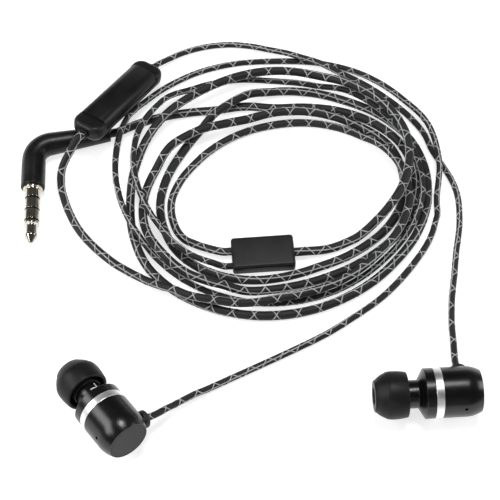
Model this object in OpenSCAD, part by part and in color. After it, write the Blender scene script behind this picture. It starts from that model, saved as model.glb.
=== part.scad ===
// Wired in-ear earphones: two earbuds, an in-line remote, a splitter, a four-pole
// jack plug and the cords that join them, lying coiled on a flat surface (z = 0).

/* [Earbud shell] */
// Outer radius of both halves of the earbud shell
shell_r = 5.25; // [5:0.05:5.6]
// Wall of the rear shell
shell_wall = 0.6; // [0.5:0.05:0.7]
// Length of the straight part of the front shell
front_len = 1.9; // [1.5:0.1:3]
// Length of the cone between the front shell and its neck
cone_len = 1.35; // [1.2:0.05:2]
// Radius of the neck behind the ear tip
neck_r = 2.95; // [2.8:0.05:3.3]
// Length of the neck
neck_len = 2.05; // [1.5:0.05:3]
// Length of the rear shell behind the trim ring
rear_len = 8.2; // [7.8:0.1:10]
// Length of the rear shell that stays straight
rear_straight = 5; // [4:0.1:5.4]
// Narrowing of the rear shell from its straight part to its open end
rear_draw = 0.85; // [0.6:0.05:1]
// Length of the spigot of the front shell inside the rear shell
spigot_len = 1.3; // [1:0.1:1.6]
// Wall of the spigot round the driver
spigot_wall = 0.52; // [0.4:0.02:0.6]
// Diameter of the vent hole in the rear shell
vent_d = 0.7; // [0.4:0.1:1.2]
// Distance of the vent hole behind the trim ring
vent_back = 4.5; // [4:0.1:5]

/* [Trim ring] */
// Width of the metal trim ring along the earbud
ring_w = 1.56; // [1.2:0.02:2]
// Height of the trim ring over the shell
ring_proud = 0.03; // [0.01:0.01:0.1]

/* [Nozzle] */
// Outer radius of the sound nozzle
nozzle_r = 2.1; // [1.9:0.05:2.3]
// Length of the nozzle in front of the neck
nozzle_len = 5.5; // [4.8:0.1:5.8]
// Height of the lip that holds the ear tip
lip_h = 0.3; // [0.2:0.05:0.4]
// Radius of the sound bore
sound_r = 1.5; // [1.2:0.05:1.6]
// Thickness of the nozzle screen
screen_t = 0.2; // [0.1:0.05:0.25]

/* [Ear tip] */
// Length of the ear tip
tip_len = 7; // [6.5:0.1:8]
// Largest radius of the ear tip
tip_r = 5; // [4.6:0.1:5.2]
// Radius of the flat front of the ear tip
tip_front_r = 2.95; // [2.7:0.05:3.4]
// Thickness of the dome and skirt of the ear tip
tip_skirt = 0.7; // [0.4:0.05:0.9]
// Wall of the core tube of the ear tip
tip_core_wall = 0.65; // [0.5:0.05:0.75]
// Part of its length at which the ear tip is widest, from its rear rim
tip_belly = 0.45; // [0.3:0.05:0.6]
// Radius of the sound hole in the front of the ear tip
tip_hole_r = 1.8; // [1.4:0.1:2]
// Clearance between the core tube and the nozzle lip
tip_clear = 0.05; // [0.02:0.01:0.15]

/* [End cap] */
// Width of the shell's rim round the end cap
cap_rim = 0.28; // [0.24:0.02:0.4]
// Thickness of the end cap
cap_t = 0.85; // [0.6:0.05:1]

/* [Cable boot] */
// Distance of the cable boot behind the trim ring
boot_back = 4.72; // [4.5:0.02:5]
// Radius of the boot's flange
boot_r = 1.7; // [1.5:0.05:1.9]
// Radius of the boot's stem in the shell
boot_stem_r = 1.15; // [1:0.05:1.3]
// Radius of the boot's outer end
boot_end_r = 1.05; // [0.95:0.05:1.2]
// Distance from the earbud's axis to the boot's outer end
boot_reach = 8.2; // [7.8:0.1:9]

/* [Driver] */
// Wall of the driver frame
driver_wall = 0.25; // [0.2:0.05:0.3]
// Radius of the magnet
magnet_r = 1.75; // [1.5:0.05:1.8]
// Height of the magnet
magnet_h = 2; // [1.6:0.1:2.1]
// Thickness of the diaphragm
diaphragm_t = 0.12; // [0.08:0.01:0.2]
// Wall of the voice coil
coil_wall = 0.2; // [0.1:0.05:0.25]

/* [Remote] */
// Length of the remote
remote_len = 28.6; // [27:0.1:30]
// Width of the remote
remote_w = 7.7; // [7.4:0.1:8.4]
// Thickness of the remote
remote_t = 5; // [4.9:0.05:5.4]
// Wall of the remote's two shells
remote_wall = 0.6; // [0.5:0.05:0.65]
// Length of the button
button_len = 21; // [18:0.1:22]
// Height of the button over the cover
button_proud = 0.35; // [0.2:0.05:0.6]
// Height of the button's lower edge over the parting plane
button_z = 0.75; // [0.7:0.05:0.9]
// Height of the cover's rails beside the button
rail_h = 0.4; // [0.2:0.05:0.45]
// Gap at the button's ends
button_gap = 0.08; // [0.05:0.01:0.15]
// Length of the circuit board
board_len = 20; // [17:0.5:21]
// Width of the circuit board
board_w = 4.6; // [4:0.1:5]
// Thickness of the circuit board
board_t = 0.6; // [0.4:0.1:0.8]
// Radius of the microphone capsule
mic_r = 1.2; // [1:0.1:1.5]

/* [Splitter] */
// Length of the splitter
split_len = 14; // [12:0.5:18]
// Width of the splitter
split_w = 8; // [7.5:0.5:10]
// Thickness of the splitter
split_t = 3.2; // [3:0.1:4]
// Rounding of the splitter's edges
split_round = 0.7; // [0.3:0.1:0.9]

/* [Plug] */
// Diameter of the plug's moulding round the jack
plug_d = 5.5; // [5.3:0.1:6]
// Distance from the plug's corner to its jack end
plug_leg = 12.1; // [11:0.1:14]
// Distance from the plug's corner to its cord end
plug_arm = 17.8; // [16:0.1:18.5]
// Diameter of the plug's arm where the cord enters
plug_arm_end_d = 3.8; // [3.2:0.1:4]
// Radius of the plug's bend on its centre line
plug_bend_r = 3.2; // [3:0.1:4]
// Angle between the jack and the arm
plug_angle = 101; // [95:1:110]

/* [Jack] */
// Diameter of the jack's contacts
jack_d = 3.5; // [3.4:0.05:3.6]
// Diameter of the jack's collar
collar_d = 4.5; // [4.2:0.1:4.8]
// Height of the collar over the moulding
collar_h = 0.9; // [0.6:0.1:1.4]
// Length of the ring contact next to the collar
ring2_len = 2.5; // [2:0.1:3]
// Length of the ring contact next to the tip
ring1_len = 2.6; // [2:0.1:3]
// Length of the tip contact
jack_tip_len = 5.4; // [5:0.1:6]
// Diameter of the waist of the tip contact
waist_d = 2.6; // [2.4:0.1:2.8]

/* [Cords] */
// Diameter of the cord from the plug to the splitter
main_d = 2; // [1.8:0.05:2.05]
// Diameter of the cord from the splitter to the remote
remote_d = 1.8; // [1.6:0.05:1.85]
// Diameter of the cords at the earbuds
bud_d = 1.4; // [1.2:0.05:1.45]

/* [Hidden] */
$fn = 64;
fit = 0.05;

// ---- where the pieces lie
right_at = [34.85, 3.3, shell_r + ring_proud];
right_tilt = 90;
right_yaw = 183.4;
left_at = [-33.6, -1.5, 6.65];
left_tilt = 100;
left_yaw = 128;
split_at = [-0.9, 38.5, 0];
split_yaw = 4.5;
plug_at = [-54.1, 66.7, plug_d / 2];
plug_yaw = 14;
remote_at = [-34.8, 78.15, 5.5];
remote_tilt = 14;
remote_yaw = 59;

function turned(p, tilt, yaw) =
    let (x = p[0] * cos(tilt) + p[2] * sin(tilt), z = -p[0] * sin(tilt) + p[2] * cos(tilt))
    [x * cos(yaw) - p[1] * sin(yaw), x * sin(yaw) + p[1] * cos(yaw), z];
module placed(at, tilt, yaw) {
    translate(at) rotate([0, tilt, yaw]) children();
}

// ---- earbud, along its own axis: z = 0 at the middle of the trim ring, +z to the ear
half_ring = ring_w / 2;
cone_z = half_ring + front_len;
neck_z = cone_z + cone_len;
nozzle_z = neck_z + neck_len;
mouth_z = nozzle_z + nozzle_len;
spigot_r = shell_r - shell_wall - 0.08;
driver_r = spigot_r - spigot_wall - fit;
cavity_r = driver_r + fit;
cavity_z = cone_z - 0.38;
lip_r = nozzle_r + lip_h;
lip_len = 0.8;
rear_z = -half_ring - rear_len;
taper_z = -half_ring - rear_straight;
shell_in = shell_r - shell_wall;
rear_end_r = shell_r - rear_draw;
cap_r = rear_end_r - cap_rim;
cap_z = rear_z + cap_t;
ledge = 0.6;
boot_z = -half_ring - boot_back;
boot_turn = -68;
boss_out = shell_r + 0.65;
vent_z = -half_ring - vent_back;
vent_turn = boot_turn + 180;
driver_z = cavity_z - 0.1;
seat_z = driver_z - 1;
plate_z = seat_z - 2.3;
coil_r = magnet_r + 0.2;
yoke_r = coil_r + coil_wall + 0.2;
yoke_wall = 0.37;
magnet_z = seat_z - 0.7 - magnet_h;
yoke_base = 0.5;

module revolved(points) {
    rotate_extrude() polygon(points);
}
function taper(n) = [for (i = [0 : n]) let (t = i / n)
    [shell_r - (shell_r - rear_end_r) * t * t, taper_z + (rear_z - taper_z) * t]];

module front_shell() {
    color("#18191b") revolved([
        [shell_r, half_ring], [shell_r, cone_z], [neck_r, neck_z], [neck_r, nozzle_z],
        [nozzle_r, nozzle_z], [nozzle_r, mouth_z - lip_len], [lip_r, mouth_z - lip_len + 0.2],
        [lip_r, mouth_z - 0.2], [lip_r - 0.2, mouth_z],
        [sound_r + 0.25, mouth_z], [sound_r + 0.25, mouth_z - 0.3], [sound_r, mouth_z - 0.3],
        [sound_r, neck_z + 0.17], [cavity_r, cavity_z], [cavity_r, -half_ring - spigot_len],
        [spigot_r, -half_ring - spigot_len], [spigot_r, half_ring]]);
}
module nozzle_screen() {
    color("#55585c") translate([0, 0, mouth_z - 0.3])
        cylinder(h = screen_t, r = sound_r + 0.22);
}
module trim_ring() {
    color("#d9dadb") revolved([
        [spigot_r + fit, -half_ring], [shell_r, -half_ring], [shell_r + ring_proud, -half_ring + 0.1],
        [shell_r + ring_proud, half_ring - 0.1], [shell_r, half_ring], [spigot_r + fit, half_ring]]);
}
module rear_shell() {
    color("#141517") difference() {
        union() {
            revolved(concat([[shell_in, -half_ring], [shell_r, -half_ring]], taper(8),
                [[cap_r + 0.03, rear_z], [cap_r + 0.03, cap_z], [cap_r - ledge, cap_z],
                 [cap_r - ledge, cap_z + 0.4], [shell_in - 0.4, cap_z + 0.8], [shell_in, taper_z]]));
            rotate([0, 0, boot_turn]) translate([shell_in + 0.2, 0, boot_z]) rotate([0, 90, 0])
                cylinder(h = boss_out - shell_in - 0.2, r = boot_r + fit);
        }
        rotate([0, 0, boot_turn]) translate([shell_in - 1, 0, boot_z]) rotate([0, 90, 0])
            cylinder(h = boss_out - shell_in + 2, r = boot_stem_r + fit);
        rotate([0, 0, vent_turn]) translate([shell_in - 1, 0, vent_z]) rotate([0, 90, 0])
            cylinder(h = 3, d = vent_d);
    }
}
module end_cap() {
    color("#3c3e41") revolved([
        [0, cap_z], [cap_r, cap_z], [cap_r, rear_z + 0.12], [cap_r - 0.12, rear_z], [0, rear_z]]);
}
module cable_boot() {
    color("#101113") rotate([0, 0, boot_turn]) translate([0, 0, boot_z]) rotate([0, 90, 0])
        revolved([
            [0, shell_in - 0.4], [boot_stem_r, shell_in - 0.4], [boot_stem_r, boss_out],
            [boot_r, boss_out], [boot_r, boss_out + 0.8], [boot_end_r, boot_reach],
            [0, boot_reach]]);
}
module ear_tip() {
    z0 = nozzle_z + tip_clear;
    zf = nozzle_z + tip_len;
    zm = z0 + (zf - z0) * tip_belly;
    core_in = lip_r + tip_clear;
    core_out = core_in + tip_core_wall;
    web = zf - 1.1;
    stop = mouth_z + 0.15;
    rim = 0.25;
    n = 12;
    color("#26282b") revolved(concat(
        [[tip_hole_r, zf]],
        [for (i = [0 : n]) let (a = 90 * i / n)
            [tip_front_r + (tip_r - tip_front_r) * sin(a), zm + (zf - zm) * cos(a)]],
        [for (i = [1 : 5]) let (t = i / 5) [tip_r - rim * t * t, zm + (z0 + 0.25 - zm) * t]],
        [for (i = [5 : -1 : 1]) let (t = i / 5)
            [tip_r - tip_skirt - rim * t * t, zm + (z0 + 0.25 - zm) * t]],
        [for (i = [n : -1 : 0]) let (a = 90 * i / n)
            [core_out + 0.1 + (tip_r - tip_skirt - core_out - 0.1) * sin(a), zm + (web - zm) * cos(a)]],
        [[core_out, web], [core_out, z0], [core_in, z0], [core_in, stop], [tip_hole_r, stop]]));
}
module driver_frame() {
    r = driver_r;
    w = driver_wall;
    color("#6d7074") revolved([
        [r, plate_z], [r, driver_z], [r - w, driver_z], [r - w, seat_z], [r - 2 * w, seat_z],
        [r - 2 * w, plate_z + 0.3], [yoke_r + yoke_wall + 0.03, plate_z + 0.3],
        [yoke_r + yoke_wall + 0.03, plate_z]]);
}
module diaphragm() {
    t = diaphragm_t;
    edge = driver_r - driver_wall - 0.03;
    low = [[0, 0.5], [coil_r * 0.5, 0.4], [coil_r, 0.1], [coil_r + 0.65, 0.3], [edge - 0.5, 0],
           [edge, 0]];
    color("#b9a77c") translate([0, 0, seat_z]) revolved(concat(low,
        [for (i = [len(low) - 1 : -1 : 0]) [low[i][0], low[i][1] + t]]));
}
module voice_coil() {
    color("#a8572f") translate([0, 0, seat_z - 2]) difference() {
        cylinder(h = 2.1, r = coil_r + coil_wall);
        translate([0, 0, -1]) cylinder(h = 5, r = coil_r);
    }
}
module magnet() {
    color("#9da1a6") translate([0, 0, magnet_z]) cylinder(h = magnet_h, r = magnet_r);
}
module yoke() {
    color("#7d8186") revolved([
        [0, magnet_z - yoke_base], [yoke_r + yoke_wall, magnet_z - yoke_base],
        [yoke_r + yoke_wall, seat_z - 0.6], [yoke_r, seat_z - 0.6], [yoke_r, magnet_z],
        [0, magnet_z]]);
}

module on_left() {
    placed(left_at, left_tilt, left_yaw) children();
}
module on_right() {
    placed(right_at, right_tilt, right_yaw) children();
}

// ---- remote, along +x from its middle, parting plane at z = 0
ball = remote_t / 2;
ball_x = remote_len / 2 - ball;
ball_y = remote_w / 2 - ball;
collar_out = remote_len / 2 + 0.7;
near_collar_r = 1.35;
far_collar_r = 1.1;
tongue_len = 0.5;
tongue_w = 4.6;
tongue_t = 0.7;
board_z = -0.2;
peg_x = board_len / 2 - 2;
peg_y = board_w / 2 - 1.1;
mic_x = -6;

module pill(r) {
    hull() for (x = [-ball_x, ball_x], y = [-ball_y, ball_y])
        translate([x, y, 0]) sphere(r = r, $fn = 32);
}
module collars(extra) {
    for (e = [[-1, near_collar_r], [1, far_collar_r]])
        translate([e[0] < 0 ? -collar_out : collar_out - 1.7, 0, 0]) rotate([0, 90, 0])
            cylinder(h = 1.7, r = e[1] + extra);
}
module remote_base() {
    color("#121315") {
        difference() {
            pill(ball);
            pill(ball - remote_wall);
            translate([-remote_len, -remote_w, 0]) cube([2 * remote_len, 2 * remote_w, remote_t]);
            translate([mic_x, 0, -remote_t]) cylinder(h = remote_t, r = 0.35);
        }
        collars(0);
        for (x = [-peg_x, peg_x], y = [-peg_y, peg_y])
            translate([x, y, -ball + remote_wall - 0.1])
                cylinder(h = board_z - board_t + ball - remote_wall + 0.1, r = 0.6);
    }
}
module remote_cover() {
    color("#0f1012") difference() {
        pill(ball);
        pill(ball - remote_wall);
        translate([-remote_len, -remote_w, -remote_t]) cube([2 * remote_len, 2 * remote_w, remote_t]);
        translate([-button_len / 2 - button_gap, -remote_w, rail_h])
            cube([button_len + 2 * button_gap, 2 * remote_w, remote_t]);
        collars(0.03);
    }
}
// the button lies over the whole width, and its tongues reach under the cover's ends
module remote_button() {
    color("#1b1c1f") {
        intersection() {
            translate([0, 0, button_proud]) pill(ball);
            translate([-button_len / 2, -remote_w, button_z]) cube([button_len, 2 * remote_w, remote_t]);
        }
        translate([-button_len / 2 - tongue_len, -tongue_w / 2, button_z])
            cube([button_len + 2 * tongue_len, tongue_w, tongue_t]);
    }
}
module circuit_board() {
    color("#1f5a3a") translate([-board_len / 2, -board_w / 2, board_z - board_t])
        cube([board_len, board_w, board_t]);
}
module tact_switch() {
    color("#b5b8bb") {
        translate([-1.5, -1.5, board_z]) cube([3, 3, 0.4]);
        translate([0, 0, board_z]) cylinder(h = 0.57, r = 0.7);
    }
}
module mic_capsule() {
    color("#c9b36b") translate([mic_x, 0, board_z - board_t - 0.8]) cylinder(h = 0.8, r = mic_r);
}
module on_remote() {
    placed(remote_at, remote_tilt, remote_yaw) children();
}

// ---- splitter
split_hole = 0.8;
module splitter_body() {
    r = split_round;
    color("#1c1d1f") difference() {
        hull() for (x = [-1, 1], y = [-1, 1], z = [-1, 1])
            translate([x * (split_len / 2 - r), y * (split_w / 2 - r), split_t / 2 + z * (split_t / 2 - r)])
                sphere(r = r, $fn = 24);
        translate([-split_len / 4 - fit, -split_w / 4 - fit, split_t / 2 - split_hole - fit])
            cube([split_len / 2 + 2 * fit, split_w / 2 + 2 * fit, 2 * split_hole + 2 * fit]);
    }
}
module splitter_core() {
    color("#caa15a") translate([-split_len / 4, -split_w / 4, split_t / 2 - split_hole - fit])
        cube([split_len / 2, split_w / 2, 2 * split_hole]);
}
module on_splitter() {
    placed(split_at, 0, split_yaw) children();
}

// ---- plug, from its corner: +x along the arm, the jack at plug_angle from it
bend_turn = 180 - plug_angle;
bend_len = plug_bend_r * tan(bend_turn / 2);
arm_r = plug_d / 2 - 0.05;
// the plug lies on its jack end and is rolled about the jack until its arm's end lies down
roll_axis = [cos(plug_angle), -sin(plug_angle), 0];
arm_drop = plug_d / 2 - plug_arm_end_d / 2 - 0.1;
roll = -asin(arm_drop / (plug_arm * sin(plug_angle)));
function rolled(p) = p * cos(roll) + cross(roll_axis, p) * sin(roll)
    + roll_axis * (roll_axis * p) * (1 - cos(roll));
stem_r = 1.5;
stem_len = 6.5;
recess = 0.5;
rod_r = 0.6;
ins_a = 1;
ins_b = 0.6;
ins_c = 1;
ring2_z = collar_h + ins_a;
ins_b_z = ring2_z + ring2_len;
ring1_z = ins_b_z + ins_b;
ins_c_z = ring1_z + ring1_len;
tip_z = ins_c_z + ins_c;
shoulder = 0.7;
head = 2.2;

module plug_moulding() {
    color("#151618") difference() {
        union() {
            translate([bend_len, -plug_bend_r, 0]) rotate([0, 0, 88])
                rotate_extrude(angle = bend_turn + 4) translate([plug_bend_r, 0]) circle(r = arm_r - 0.02);
            translate([bend_len, 0, 0]) rotate([0, 90, 0])
                cylinder(h = plug_arm - bend_len, r1 = arm_r, r2 = plug_arm_end_d / 2);
            rotate([0, 0, -plug_angle]) rotate([0, 90, 0]) translate([0, 0, bend_len])
                revolved([[0, 0], [arm_r, 0], [plug_d / 2, 1], [plug_d / 2, plug_leg - bend_len - 0.3],
                    [plug_d / 2 - 0.3, plug_leg - bend_len], [0, plug_leg - bend_len]]);
        }
        rotate([0, 0, -plug_angle]) rotate([0, 90, 0]) {
            translate([0, 0, plug_leg - recess]) cylinder(h = recess + 1, r = collar_d / 2 + fit);
            translate([0, 0, plug_leg - stem_len]) cylinder(h = stem_len, r = stem_r + fit);
        }
    }
}
module on_jack() {
    rotate([0, 0, -plug_angle]) rotate([0, 90, 0]) translate([0, 0, plug_leg]) children();
}
module band(z, h) {
    translate([0, 0, z]) difference() {
        cylinder(h = h, d = jack_d);
        translate([0, 0, -1]) cylinder(h = h + 2, r = rod_r + fit);
    }
}
module jack_sleeve() {
    color("#c8bfae") on_jack() revolved([
        [rod_r + fit, -stem_len + 0.1], [stem_r, -stem_len + 0.1], [stem_r, -recess],
        [collar_d / 2, -recess], [collar_d / 2, collar_h - 0.15], [collar_d / 2 - 0.15, collar_h],
        [rod_r + fit, collar_h]]);
}
module jack_ring_2() {
    color("#c8bfae") on_jack() band(ring2_z, ring2_len);
}
module jack_ring_1() {
    color("#c8bfae") on_jack() band(ring1_z, ring1_len);
}
module jack_tip() {
    r = jack_d / 2;
    e = tip_z + jack_tip_len;
    color("#c8bfae") on_jack() revolved([
        [0, -stem_len + 0.1], [rod_r, -stem_len + 0.1], [rod_r, tip_z], [r, tip_z], [r, tip_z + shoulder],
        [waist_d / 2, tip_z + shoulder + 0.25], [waist_d / 2, e - head - 0.1], [waist_d / 2 + 0.18, e - head],
        [waist_d / 2 + 0.18, e - head + 0.5], [0.45, e - 0.1], [0.3, e], [0, e]]);
}
module jack_insulators() {
    color("#0c0c0d") on_jack() {
        band(collar_h, ins_a);
        band(ins_b_z, ins_b);
        band(ins_c_z, ins_c);
    }
}
module on_plug() {
    placed(plug_at, 0, plug_yaw) rotate(a = roll, v = roll_axis) children();
}

// ---- cords: points of a route are [x, y, z]; a winding is a list of radii, one at every
// 30 degrees of heading about the coil's centre, with the height it is lifted to where
// it crosses over another strand
coil_at = [2.2, 52.5];
lap_step = 30;
ramp = 16;
function smooth(t) = t <= 0 ? 0 : t >= 1 ? 1 : t * t * (3 - 2 * t);
function cubic(a, b, c, d, t) = 0.5 * (2 * b + (c - a) * t + (2 * a - 5 * b + 4 * c - d) * t * t
    + (3 * b - a - 3 * c + d) * t * t * t);
function lifted(h, lifts) = max([for (l = lifts)
    l[2] * smooth((h - min(l[0], l[1]) + ramp) / ramp) * smooth((max(l[0], l[1]) + ramp - h) / ramp)]);
function winding(start, way, radii, base, lifts, per) = let (n = len(radii))
    [for (m = [0 : (n - 1) * per]) let (
        q = m / per, i = min(floor(q), n - 2), t = q - i,
        r = cubic(radii[max(i - 1, 0)], radii[i], radii[i + 1], radii[min(i + 2, n - 1)], t),
        h = start + way * lap_step * q)
        [coil_at[0] + r * cos(h), coil_at[1] + r * sin(h), base + lifted(h, lifts)]];
function eased(p, q, t) = p + (q - p) * smooth(t);
// points through P, smooth in plan and eased in height; the first span stays as it is
function run(P, per, skip = 0) = let (n = len(P))
    [for (i = [skip : n - 2]) for (k = [0 : per - 1]) let (
        t = k / per,
        a = i > 0 ? P[i - 1] : 2 * P[0] - P[1],
        d = i + 2 < n ? P[i + 2] : 2 * P[n - 1] - P[n - 2],
        c = cubic(a, P[i], P[i + 1], d, t))
        [c[0], c[1], eased(P[i][2], P[i + 1][2], t)]];

function on_bud(at, tilt, yaw, far) = at + turned([
    (boot_reach + far) * cos(boot_turn), (boot_reach + far) * sin(boot_turn), boot_z], tilt, yaw);
function on_block(x, y, far, up = 0) = split_at
    + turned([x + sign(x) * far, y, split_t / 2 + up], 0, split_yaw);
function on_arm(far) = plug_at + turned(rolled([plug_arm + far, 0, 0]), 0, plug_yaw);
function on_collar(way, far) = remote_at + turned([way * (collar_out + far), 0, 0], remote_tilt, remote_yaw);

// from the splitter, anticlockwise, to the plug
main_r = [15.6, 19.8, 27.8, 34.4, 35.6, 35.9, 34.7, 34.6, 33.4, 33.4, 30.9, 29, 28.8, 30.7, 34.6,
          36.2, 33.3, 31.2, 27.5, 25.8, 26.5, 25.8, 22.6, 19.8, 19.4, 23, 28.8,
          31, 27, 24.2, 23.6, 27.8, 30.4, 29.8, 25.9, 22.5, 22.5, 26, 31.7, 33.6, 29.8, 26.6, 29.9];
main_over = [[300, 302, 0.5], [352, 416, 4.8], [408, 502, 2.5], [822, 842, 2.5], [1145, 1180, 1.6],
             [1205, 1230, 3], [1284, 1298, 3.7], [1298, 1322, 2.4]];
main_wound = winding(300, 1, main_r, main_d / 2, main_over, 2);
main_coil = concat([on_block(split_len / 2, 0, 0), on_block(split_len / 2, 0, main_d)], main_wound);
main_tail = run([main_wound[len(main_wound) - 3], main_wound[len(main_wound) - 1], [-22.5, 77, main_d / 2],
    [-30, 74.5, 1.2], on_arm(main_d), on_arm(0)], 3, 1);
main_lead = concat([for (i = [0 : len(main_tail) - 3]) main_tail[i]], [on_arm(0)]);

// from the splitter, clockwise, to the remote
remote_r = [24, 21.6, 20.8, 21.8, 25, 29, 30.3, 27.2, 25.6, 26, 30.2];
remote_over = [[24, -124, 2.4]];
remote_wound = winding(180, -1, remote_r, remote_d / 2, remote_over, 2);
remote_head = run([on_block(-split_len / 2, 1.3, 0), on_block(-split_len / 2, 1.3, remote_d), [-13, 40.1, 1.3],
    [-16.5, 41.6, 1], [-19.8, 44.2, 0.9], remote_wound[0], remote_wound[2]], 2);
remote_coil = concat([remote_head[0]], [for (i = [2 : 9]) remote_head[i]], remote_wound);
remote_tail = run([remote_wound[len(remote_wound) - 3], remote_wound[len(remote_wound) - 1],
    [-20, 28.5, 3.3], [-27, 32, 1.5], [-34, 36.5, 0.9], [-39.5, 41.5, 0.9], [-43, 46, 0.9], [-45.5, 51, 0.9],
    [-47, 55.8, 3], [-46.4, 59.4, 6.1], on_collar(-1, remote_d), on_collar(-1, 0)], 2, 1);
remote_lead = concat([for (i = [0 : len(remote_tail) - 2]) remote_tail[i]], [on_collar(-1, 0)]);

// from the splitter, clockwise, to the left earbud
left_r = [25.6, 30.6, 37, 37.9, 34.9, 35.2, 34.8, 33.2, 28.4, 26.2, 25.9, 27.3, 30.5, 35.6, 41, 42, 41,
          42.7, 41.8, 36.8];
left_over = [[222, 134, 2.8], [56, -6, 2.3], [-162, -176, 2.4], [-202, -214, 3], [-334, -346, 1.7]];
left_wound = winding(210, -1, left_r, bud_d / 2, left_over, 2);
left_head = run([on_block(-split_len / 2, -2.6, 0, 0.2), on_block(-split_len / 2, -2.6, bud_d, 0.2), [-12.2, 35.6, 3],
    left_wound[0], left_wound[2]], 2);
left_coil = concat([left_head[0]], [for (i = [2 : 5]) left_head[i]], left_wound);
left_tail = run([left_wound[len(left_wound) - 3], left_wound[len(left_wound) - 1],
    [38.5, 48, 0.7], [36.5, 42.5, 0.7], [33, 37, 0.7], [29, 32, 0.7], [24.5, 27.5, 0.7], [18.5, 23, 0.7],
    [12.5, 19, 0.7], [5, 15, 0.7], [-3, 11, 0.7], [-11, 7, 0.8], [-17.5, 3.5, 1.5],
    on_bud(left_at, left_tilt, left_yaw, bud_d), on_bud(left_at, left_tilt, left_yaw, 0)], 3, 1);
left_lead = concat([for (i = [0 : len(left_tail) - 3]) left_tail[i]],
    [on_bud(left_at, left_tilt, left_yaw, 0)]);

// from the remote to the right earbud
right_tail = run([on_collar(1, 0), on_collar(1, bud_d), [-24.6, 93.2, 1.3], [-21, 95.6, 0.9],
    [-16.5, 97.5, 0.7], [-11.5, 98.5, 0.7], [-6, 98.5, 0.7], [0, 97, 1.1], [6, 94.5, 2.3], [12.5, 92, 2.4],
    [18.3, 89.2, 1.5], [23.5, 86.6, 0.8], [29.2, 82, 0.8], [34, 77, 0.8], [37.3, 72, 0.8], [39, 67, 0.7],
    [41, 63, 0.7], [43, 58.5, 0.7], [44, 53.5, 0.7], [43.7, 46.5, 0.7], [42.5, 40, 0.7], [41.5, 33.5, 0.7],
    [40.5, 27.5, 0.7], [40, 21.5, 0.7], [40, 17, 0.8],
    on_bud(right_at, right_tilt, right_yaw, bud_d), on_bud(right_at, right_tilt, right_yaw, 0)], 2);
right_lead = concat([right_tail[0]], [for (i = [2 : len(right_tail) - 2]) right_tail[i]],
    [on_bud(right_at, right_tilt, right_yaw, 0)]);

main_route = concat(main_coil, [for (i = [1 : len(main_lead) - 1]) main_lead[i]]);
remote_route = concat(remote_coil, [for (i = [1 : len(remote_lead) - 1]) remote_lead[i]]);
left_route = concat(left_coil, [for (i = [1 : len(left_lead) - 1]) left_lead[i]]);

function unit(v) = v / norm(v);
function along(P, i) = unit(i == 0 ? P[1] - P[0] : i == len(P) - 1 ? P[i] - P[i - 1] : P[i + 1] - P[i - 1]);
// one tube through points a to b of a route, each ring square to the route
module tube(P, a, b, d, sides) {
    n = b - a;
    rings = [for (i = [a : b]) let (t = along(P, i), s = unit(cross(t, [0, 0, 1])), u = cross(s, t))
        for (k = [0 : sides - 1]) let (w = 360 * (k + 0.5) / sides)
            P[i] + d / 2 * (cos(w) * s + sin(w) * u)];
    walls = [for (i = [0 : n - 1]) for (k = [0 : sides - 1]) let (
        p = i * sides + k, q = i * sides + (k + 1) % sides) each [[p, q, q + sides], [p, q + sides, p + sides]]];
    near_end = [for (k = [1 : sides - 2]) [0, k + 1, k]];
    far_end = [for (k = [1 : sides - 2]) [n * sides, n * sides + k, n * sides + k + 1]];
    polyhedron(points = rings, faces = concat(walls, near_end, far_end), convexity = 12);
}
function from_span(p, a, b) = let (u = b - a, t = max(0, min(1, ((p - a) * u) / (u * u)))) norm(p - a - t * u);
function self_gap(P, d, skip) = min([for (i = [0 : len(P) - 1]) for (j = [0 : len(P) - 2])
    if (abs(i - j) > skip) from_span(P[i], P[j], P[j + 1])]) - d;
echo(least_gap_main_cord = self_gap(main_route, main_d, 4));
echo(least_gap_remote_cord = self_gap(remote_route, remote_d, 4));
echo(least_gap_left_cord = self_gap(left_route, bud_d, 4));

module main_cord_coil() {
    color("#2b2d30") tube(main_route, 0, len(main_coil) - 1, main_d, 6);
}
module main_cord_lead() {
    color("#2b2d30") tube(main_route, len(main_coil) - 1, len(main_route) - 1, main_d, 6);
}
module remote_cord_coil() {
    color("#2b2d30") tube(remote_route, 0, len(remote_coil) - 1, remote_d, 6);
}
module remote_cord_lead() {
    color("#2b2d30") tube(remote_route, len(remote_coil) - 1, len(remote_route) - 1, remote_d, 6);
}
module left_cord_coil() {
    color("#2b2d30") tube(left_route, 0, len(left_coil) - 1, bud_d, 6);
}
module left_cord_lead() {
    color("#2b2d30") tube(left_route, len(left_coil) - 1, len(left_route) - 1, bud_d, 6);
}
module right_cord_lead() {
    color("#2b2d30") tube(right_lead, 0, len(right_lead) - 1, bud_d, 8);
}

on_left() ear_tip();  // left_ear_tip
on_left() front_shell();  // left_front_shell
on_left() nozzle_screen();  // left_nozzle_screen
on_left() trim_ring();  // left_trim_ring
on_left() rear_shell();  // left_rear_shell
on_left() end_cap();  // left_end_cap
on_left() cable_boot();  // left_cable_boot
on_left() driver_frame();  // left_driver_frame
on_left() diaphragm();  // left_diaphragm
on_left() voice_coil();  // left_voice_coil
on_left() magnet();  // left_magnet
on_left() yoke();  // left_yoke
on_right() ear_tip();  // right_ear_tip
on_right() front_shell();  // right_front_shell
on_right() nozzle_screen();  // right_nozzle_screen
on_right() trim_ring();  // right_trim_ring
on_right() rear_shell();  // right_rear_shell
on_right() end_cap();  // right_end_cap
on_right() cable_boot();  // right_cable_boot
on_right() driver_frame();  // right_driver_frame
on_right() diaphragm();  // right_diaphragm
on_right() voice_coil();  // right_voice_coil
on_right() magnet();  // right_magnet
on_right() yoke();  // right_yoke
on_remote() remote_base();
on_remote() remote_cover();
on_remote() remote_button();
on_remote() circuit_board();
on_remote() tact_switch();
on_remote() mic_capsule();
on_splitter() splitter_body();
on_splitter() splitter_core();
on_plug() plug_moulding();
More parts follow.
